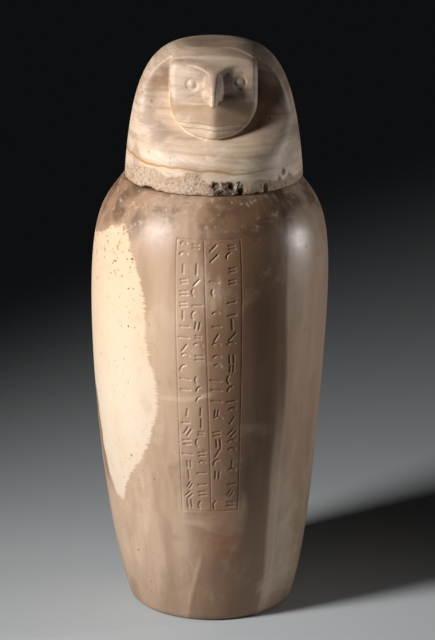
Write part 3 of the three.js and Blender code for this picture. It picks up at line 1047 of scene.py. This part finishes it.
def face_outline(x, z):
    """The face's edge as seen from the front, straight-sided above and round at the chin."""
    power = FACE.chin_power
    below = np.maximum(FACE.side_height - z, 0) / FACE.chin_drop
    out = np.abs(x) / FACE.half_width
    return ((out ** power + below ** power) ** (1 / power) - 1) * FACE.half_width


def forehead(x, u, z):
    fall = FOREHEAD.fall * (np.maximum(u, 0) / FOREHEAD.front) ** FOREHEAD.power
    camber = FOREHEAD.camber - FOREHEAD.brow_camber * smooth_step(*FOREHEAD.brow_run, u)
    return (z + FOREHEAD.drop - (FOREHEAD.top - fall - camber * x * x)) * FOREHEAD.slope


def brow_arch(x, u, z):
    """How far the surface is cut back along the arch over the brow."""
    width = BROW_ARCH.half_width
    step = smooth_step(-width, width, u - BROW_ARCH.forward - BROW_ARCH.camber * x * x)
    return BROW_ARCH.depth * step * smooth_step(*CROWN_RUN, z)


def eye_relief(x, z, size):
    """Height of the carved eyes, each a ball in a ring in a shallow socket."""
    relief = 0
    for eye_x, eye_z in EYES:
        away = np.hypot(x - eye_x, z - eye_z)
        groove = np.exp(-(((away - size) / EYE.groove_width) ** 2))
        ring = np.exp(-(((away - size - EYE.ring_away) / EYE.ring_width) ** 2))
        ball = smooth_step(size - EYE.ball_inset, 0, away)
        socket = smooth_step(*EYE.socket_run, away)
        relief = relief - EYE.groove * groove + EYE.ring * ring
        relief = relief + EYE.ball * ball - EYE.socket * socket
    return relief


def worn(field, points):
    """The field with its flat foot, its rubbed lower corner and its chips."""
    x, u, z = points
    bevel = np.hypot(x, u) - BELL.radius + smooth_step(WEAR.rub_height, 0, z) * WEAR.rub
    field = smooth_max(np.maximum(field, bevel), WEAR.under - z, WEAR.under_blend)
    for place, reach in CHIPS:
        ball = np.sqrt(sum(((p - c) / r) ** 2 for p, c, r in zip(points, place, reach)))
        field = smooth_max(field, (1 - ball) * min(reach), WEAR.chip_blend)
    return field


def plug(x, u, z):
    """The plug in the jar's mouth, in line with the jar's own axis."""
    depth = PLUG_DEPTH / MM
    middle = (float(axis_offset(JAR_HEIGHT)) - LID_OFFSET) / MM
    side = np.hypot(x - middle, u) - PLUG.radius + np.maximum(-z - depth + PLUG.chamfer, 0)
    stem = smooth_max(side, -depth - z, PLUG.blend)
    return smooth_max(stem, z - PLUG.into_lid, PLUG.blend)


def lid_field(points, sizes):
    """Signed distance, in mm, to the lid's surface. points are right, forward and up."""
    x, u, z = points
    left = smooth_step(*HOOD.left_blend_across, x) * smooth_step(*HOOD.left_blend_up, z)
    soft = HOOD.edge_blend + HOOD.collar_blend * smooth_step(*HOOD.collar_run, z)
    soft = soft + HOOD.left_blend * left
    hood = smooth_max(bell(x, u, z), -wig_opening(x, u, z), soft)
    head = smooth_max(face_outline(x, z), falcon_face(x, u, z), FACE.edge_blend)
    head = smooth_max(head, -u, BACK_BLEND)
    soft = FOREHEAD.brow_blend + FOREHEAD.back_blend * smooth_step(*FOREHEAD.back_run, u)
    head = smooth_max(head, forehead(x, u, z), soft)
    soft = JOIN_BLEND + FOREHEAD.wig_blend * smooth_step(*WIG_RUN, z)
    field = smooth_min(hood, head, soft) + brow_arch(x, u, z)
    field = smooth_max(field, z - LID_TOP, TOP_BLEND)
    field = field - eye_relief(x, z, sizes.eye_size / MM) * (u > EYE.forward)
    return smooth_min(worn(field, points), plug(x, u, z), PLUG.join)


def spaced(low, high, fine_low, fine_high, coarse, fine):
    """Grid lines from low to high, fine between fine_low and fine_high and coarse elsewhere."""
    lines = [low]
    while lines[-1] < high:
        here = lines[-1]
        away = max(fine_low - here, here - fine_high, 0)
        lines.append(here + min(fine + 0.25 * away, coarse))
    return np.array(lines)


def parted(field):
    """The field with no solid corners that meet only across the diagonal of a cell's side.

    Four faces would share one edge there.
    """
    field = field.copy()
    for axis in (0, 1, 2, 0, 1, 2):
        layers = np.moveaxis(field, axis, 0)
        solid = layers < 0
        a, b = solid[:, :-1, :-1], solid[:, 1:, :-1]
        c, d = solid[:, :-1, 1:], solid[:, 1:, 1:]
        layers[:, :-1, :-1][a & d & ~b & ~c] = 1e-3
        layers[:, 1:, :-1][b & c & ~a & ~d] = 1e-3
    return field


def surface_net(field, grid):
    """Closed quads round the space where field is negative, one point for each cell it crosses."""
    inside = field < 0
    shape = np.array(field.shape) - 1
    corners = [(i, j, k) for i in (0, 1) for j in (0, 1) for k in (0, 1)]

    def at(array, offset):
        return array[tuple(slice(o, o + n) for o, n in zip(offset, shape))]

    count = sum(at(inside, offset).astype(np.int8) for offset in corners)
    crossed = (count > 0) & (count < 8)
    cells = np.argwhere(crossed)
    number = np.full(shape, -1, dtype=np.int32)
    number[crossed] = np.arange(len(cells))

    total = np.zeros((len(cells), 3))
    hits = np.zeros(len(cells))
    where = tuple(cells.T)
    for start in corners:
        for axis in range(3):
            if start[axis]:
                continue
            end = tuple(o + (i == axis) for i, o in enumerate(start))
            a, b = at(field, start)[where], at(field, end)[where]
            cross = (a < 0) != (b < 0)
            share = np.where(cross, a / np.where(cross, a - b, 1), 0)
            point = np.empty((len(cells), 3))
            for i in range(3):
                low = grid[i][cells[:, i] + start[i]]
                high = grid[i][cells[:, i] + end[i]]
                point[:, i] = low + (high - low) * share
            total += point * cross[:, None]
            hits += cross
    points = total / hits[:, None]

    faces = []
    for axis in range(3):
        b, c = (axis + 1) % 3, (axis + 2) % 3
        first = np.take(inside, range(0, shape[axis]), axis=axis)
        second = np.take(inside, range(1, shape[axis] + 1), axis=axis)
        for leaving in (True, False):
            changes = first & ~second if leaving else ~first & second
            edges = np.argwhere(changes)
            edges = edges[(edges[:, b] > 0) & (edges[:, c] > 0)]
            edges = edges[(edges[:, b] < shape[b]) & (edges[:, c] < shape[c])]
            ring = []
            for step_b, step_c in ((1, 1), (0, 1), (0, 0), (1, 0)):
                cell = edges.copy()
                cell[:, b] -= step_b
                cell[:, c] -= step_c
                ring.append(number[tuple(cell.T)])
            ring = np.column_stack(ring)
            faces.append(ring if leaving else ring[:, ::-1])
    return points, np.vstack(faces)


def on_surface(points, field, limit=0.35):
    """The points moved on to the surface where field is zero, by limit at the most each time."""
    reach = 0.05
    for _ in range(3):
        columns = points.T
        value = field(columns)
        slope = []
        for axis in range(3):
            step = np.zeros((3, 1))
            step[axis] = reach
            slope.append((field(columns + step) - field(columns - step)) / (2 * reach))
        slope = np.array(slope)
        size = np.maximum((slope ** 2).sum(axis=0), 0.05)
        move = -value / size * slope
        far = np.sqrt((move ** 2).sum(axis=0))
        move *= np.minimum(1, limit / np.maximum(far, 1e-9))
        points = points + move.T
    return points


# The grid's reach across, forward and up, and where its cells are fine.
LID_REACH = (-68.2, 68.2), (-68.3, 68.3), (-PLUG_DEPTH / MM - 1.3, 102)
FACE_REACH = (-34, 34), (22, 64), (40, 97)


def lid_mesh(sizes):
    """The falcon head, its wig and its plug in one closed mesh."""
    larger = 1
    cells = (sizes.coarse_cell / MM * larger, sizes.fine_cell / MM * larger)
    grid = [spaced(*reach, *face, *cells) for reach, face in zip(LID_REACH, FACE_REACH)]
    field = lid_field(np.stack(np.meshgrid(*grid, indexing="ij")), sizes)
    points, faces = surface_net(parted(field), grid)
    points = on_surface(points, lambda columns: lid_field(columns, sizes))
    placed = np.column_stack([
        points[:, 0] * MM + LID_OFFSET,
        -points[:, 1] * MM,
        points[:, 2] * MM + LID_BASE,
    ])
    # Forward becomes -Y, which turns each face inside out until its order is reversed.
    mesh = bpy.data.meshes.new("lid")
    mesh.from_pydata(placed.tolist(), [], faces[:, ::-1].tolist())
    return mesh


def lid_stone(sizes):
    """Paler travertine of the lid: level bands, an ochre vein and a rough lower edge."""
    stone = Stone("Lid travertine", sizes.stone)
    ramp, band, noise, lay = stone.ramp, stone.band, stone.noise, stone.lay
    x, y, angle = stone.x, stone.y, stone.angle
    up = stone.z - LID_BASE
    warp = noise(14.0, 3.0, 0.5) - 0.5
    fine_warp = noise(60.0, 3.0, 0.6) - 0.5
    level = up + x * 0.05 + warp * 0.007 + fine_warp * 0.0012
    bands = noise(1.0, 4.0, 0.6, vector=stone.vector(x * 4.0, y * 4.0, level * 120.0))
    thin = noise(1.0, 3.0, 0.6, vector=stone.vector(x * 5.0, y * 5.0, level * 420.0))

    cloudy = noise((24.0, 24.0, 44.0), 5.0, 0.6, 0.5)
    lay(ramp(bands, 0.46, 0.66) * 0.60, sizes.warm_stone)
    lay(ramp(thin, 0.5, 0.75) * 0.20, sizes.crown_stone)
    lay(ramp(cloudy, 0.48, 0.64) * 0.9, sizes.crown_stone)
    lay(ramp(cloudy, 0.45, 0.34) * 0.75, sizes.pale)
    # The crown's mauve stone on top is the stone's own tone, but laying it over three times as
    # strongly right of the middle as far left is painted shade on the crown's right side.
    mauve_crown_and_right_shade = ramp(up + warp * 0.012, 88 * MM, 97 * MM) * ramp(x, -30 * MM, 5 * MM, 0.3, 1.0)
    lay(mauve_crown_and_right_shade * 0.5, sizes.crown_stone)
    rings = band(bands, 0.52, 0.004, 0.02) * ramp(up, 80 * MM, 92 * MM)
    lay(rings * 0.4, sizes.warm_stone)

    # The lower face is browner, under a soft level edge, with thin lines under it.
    ahead = ramp(y, -34 * MM, -40 * MM) * ramp(stone.math("ABSOLUTE", angle), 42.0, 36.0)
    jaw = ramp(level, 67 * MM, 64.5 * MM) * ramp(level, 49 * MM, 52 * MM) * ahead
    jaw = jaw * ramp(cloudy, 0.30, 0.60, 0.55, 1.0)
    lay(jaw * 0.85, sizes.warm_stone)
    for height in (50.0, 46.6):
        lay(band(level, height * MM, 0.15 * MM, 0.7 * MM) * ahead * 0.6, sizes.ochre)
    for height, strength in ((54.3, 0.5), (72.6, 0.45), (61.0, 0.2)):
        line = band(level, height * MM, 0.3 * MM, 1.2 * MM) * (1.0 - ahead)
        lay(line * strength, sizes.warm_stone)

    # The ochre vein round the wig's shoulder.
    vein = band(level + fine_warp * 0.004, 18.2 * MM, 0.35 * MM, 0.9 * MM)
    lay(vein * ramp(angle, 60.0, -10.0, 0.25, 0.85), sizes.ochre)

    # The worn lower edge: rough and greyish, with a dark burnt patch in front.
    edge_noise = noise(46.0, 3.0, 0.6)
    rough_top = 0.008 + band(angle, -34.0, 26.0, 14.0) * 0.008
    rough = ramp(up + (edge_noise - 0.5) * 0.022 - rough_top, 1.5 * MM, -1.5 * MM)
    grit = noise(420.0, 4.0, 0.7)
    lay(rough * 0.75, sizes.base_stone)
    lay(rough * ramp(edge_noise, 0.50, 0.64) * 0.45, sizes.warm_stone)
    lay(rough * ramp(grit, 0.52, 0.64) * 0.45, sizes.burnt)
    lay(rough * ramp(grit, 0.46, 0.38) * 0.4, sizes.stone)
    char_zone = band(angle, 11.5, 8.0, 6.0) * ramp(up, 13.0 * MM, 9.0 * MM)
    char_noise = noise((420.0, 420.0, 240.0), 4.0, 0.65)
    char = ramp(char_noise + char_zone * 0.28, 0.67, 0.79)
    lay(char_zone * 0.3, sizes.burnt)
    lay(char * 0.9, sizes.burnt)

    # Small pits on the crown and the wig.
    cells = stone.add("ShaderNodeTexVoronoi", {"Vector": stone.place, "Scale": 120.0}, "Distance")
    pits = ramp(cells, 0.14, 0.09) * ramp(noise(30.0, 2.0), 0.54, 0.6)
    lay(pits * 0.7, sizes.ochre)

    fine = noise(800.0, 4.0, 0.6)
    height = fine * 0.15 + thin * 0.25 + rough * (grit - 0.5) * 10.0 - pits * 2.5 - char * 2.0
    return stone.finish(0.44 + rough * 0.35 + fine * 0.1, height)


# ---- making the pieces ----


def linked(name, data):
    """A new object in the scene, with that mesh, light or camera."""
    thing = bpy.data.objects.new(name, data)
    bpy.context.scene.collection.objects.link(thing)
    return thing


def smooth_piece(mesh, name):
    """The mesh as a smooth piece in the scene."""
    mesh.update()
    mesh.validate()
    mesh.shade_smooth()
    return linked(name, mesh)


def worked_in(piece):
    """The piece's mesh with its modifiers worked in."""
    graph = bpy.context.evaluated_depsgraph_get()
    mesh = bpy.data.meshes.new_from_object(piece.evaluated_get(graph), depsgraph=graph)
    if not mesh.polygons:
        raise RuntimeError(piece.name + " came out empty")
    return mesh


def stand_for(piece, node):
    """Puts the finished piece in the CAD node's place on its body."""
    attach(piece, "root")
    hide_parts(node)


class CANOPIC_OT_jar(bpy.types.Operator):
    """Make the hollow jar, with its panel of cut strokes."""

    bl_idname = "canopic.make_jar"
    bl_label = "Make jar"
    bl_options = {"REGISTER", "UNDO"}

    def execute(self, context):
        sizes = context.scene.canopic_jar
        blank = smooth_piece(jar_mesh(sizes), "jar_blank")
        tree, names = inscription_tree()
        cutter = blank.modifiers.new("Inscription", "NODES")
        cutter.node_group = tree
        values = {"Material": jar_stone(sizes), "Belly radius": BELLY_RADIUS}
        for setting in sizes.bl_rna.properties:
            if setting.name in names:
                values[setting.name] = getattr(sizes, setting.identifier)
        for name, value in values.items():
            cutter[names[name]] = value
        piece = smooth_piece(worked_in(blank), "jar_stone")
        bpy.data.objects.remove(blank)
        stand_for(piece, "jar")
        return {"FINISHED"}


class CANOPIC_OT_lid(bpy.types.Operator):
    """Make the falcon-headed lid with its plug."""

    bl_idname = "canopic.make_lid"
    bl_label = "Make lid"
    bl_options = {"REGISTER", "UNDO"}

    def execute(self, context):
        sizes = context.scene.canopic_lid
        mesh = lid_mesh(sizes)
        mesh.materials.append(lid_stone(sizes))
        stand_for(smooth_piece(mesh, "lid_stone"), "lid")
        return {"FINISHED"}


# ---- floor, lights and camera ----

# Place, size, spread in degrees and colour of each round light, and where both are aimed.
LIGHTS = {
    "Key": ((-0.82, -0.53, 0.68), 0.26, 64, (1.0, 0.96, 0.92)),
    "Fill": ((1.25, 0.1, 0.32), 0.16, 30, (1.0, 0.97, 0.93)),
}
LIT_SPOT = Vector((0.0, -0.12, 0.47 * LID_HIGH[2]))
WORLD_COLOUR = (0.9, 0.95, 1.0, 1.0)
WORLD_STRENGTH = 0.009
FLOOR_ROUGHNESS = 0.8
CAMERA_PLACE = (0.0057, -2.143, 0.8856)
LENS = 169.1
SENSOR_WIDTH = 36


def make_floor(sizes):
    half = sizes.floor_size / 2
    corners = [(-half, -half, 0), (half, -half, 0), (half, half, 0), (-half, half, 0)]
    mesh = bpy.data.meshes.new("floor")
    mesh.from_pydata(corners, [], [(0, 1, 2, 3)])
    floor = linked("floor", mesh)
    paper = bpy.data.materials.new("Floor paper")
    paper.use_nodes = True
    shader = paper.node_tree.nodes["Principled BSDF"]
    shader.inputs["Base Color"].default_value = (*sizes.floor_colour, 1.0)
    shader.inputs["Roughness"].default_value = FLOOR_ROUGHNESS
    mesh.materials.append(paper)


def make_lights(sizes):
    world = bpy.data.worlds.new("Studio")
    world.use_nodes = True
    backdrop = world.node_tree.nodes["Background"]
    backdrop.inputs["Color"].default_value = WORLD_COLOUR
    backdrop.inputs["Strength"].default_value = WORLD_STRENGTH
    bpy.context.scene.world = world
    bpy.context.scene.view_settings.view_transform = "Standard"
    watts_of = {"Key": sizes.key_power, "Fill": sizes.fill_power}
    for name, (place, size, spread, colour) in LIGHTS.items():
        lamp = bpy.data.lights.new(name, "AREA")
        lamp.shape = "DISK"
        lamp.size = size
        lamp.spread = math.radians(spread)
        lamp.energy = watts_of[name]
        lamp.color = colour
        light = linked(name, lamp)
        light.location = place
        away = Vector(place) - LIT_SPOT
        light.rotation_euler = away.to_track_quat("Z", "Y").to_euler()


def make_camera(sizes):
    lens = bpy.data.cameras.new("Camera")
    lens.lens = LENS
    lens.sensor_width = SENSOR_WIDTH
    camera = linked("Camera", lens)
    camera.location = CAMERA_PLACE
    camera.rotation_euler = (math.radians(90) - sizes.camera_height, 0, 0)
    bpy.context.scene.camera = camera


class CANOPIC_OT_stage(bpy.types.Operator):
    """Make the pale floor, the soft lights and the camera."""

    bl_idname = "canopic.make_stage"
    bl_label = "Make stage"
    bl_options = {"REGISTER", "UNDO"}

    def execute(self, context):
        sizes = context.scene.canopic_stage
        make_floor(sizes)
        make_lights(sizes)
        make_camera(sizes)
        return {"FINISHED"}


class CANOPIC_PT_panel(bpy.types.Panel):
    """Lists what can be made."""

    bl_idname = "CANOPIC_PT_panel"
    bl_label = "Canopic jar"
    bl_space_type = "VIEW_3D"
    bl_region_type = "UI"
    bl_category = "Canopic jar"

    def draw(self, context):
        for operator, settings in (
            (CANOPIC_OT_jar, context.scene.canopic_jar),
            (CANOPIC_OT_lid, context.scene.canopic_lid),
            (CANOPIC_OT_stage, context.scene.canopic_stage),
        ):
            box = self.layout.box()
            box.operator(operator.bl_idname)
            for name in settings.bl_rna.properties.keys():
                if name not in ("rna_type", "name"):
                    box.prop(settings, name)


CLASSES = (
    JarSettings,
    LidSettings,
    StageSettings,
    CANOPIC_OT_jar,
    CANOPIC_OT_lid,
    CANOPIC_OT_stage,
    CANOPIC_PT_panel,
)


def register():
    for cls in CLASSES:
        bpy.utils.register_class(cls)
    bpy.types.Scene.canopic_jar = bpy.props.PointerProperty(type=JarSettings)
    bpy.types.Scene.canopic_lid = bpy.props.PointerProperty(type=LidSettings)
    bpy.types.Scene.canopic_stage = bpy.props.PointerProperty(type=StageSettings)


def unregister():
    del bpy.types.Scene.canopic_jar
    del bpy.types.Scene.canopic_lid
    del bpy.types.Scene.canopic_stage
    for cls in reversed(CLASSES):
        bpy.utils.unregister_class(cls)


def main():
    register()
    bpy.ops.canopic.make_stage()
    bpy.ops.canopic.make_jar()
    bpy.ops.canopic.make_lid()


if __name__ == "__main__":
    main()
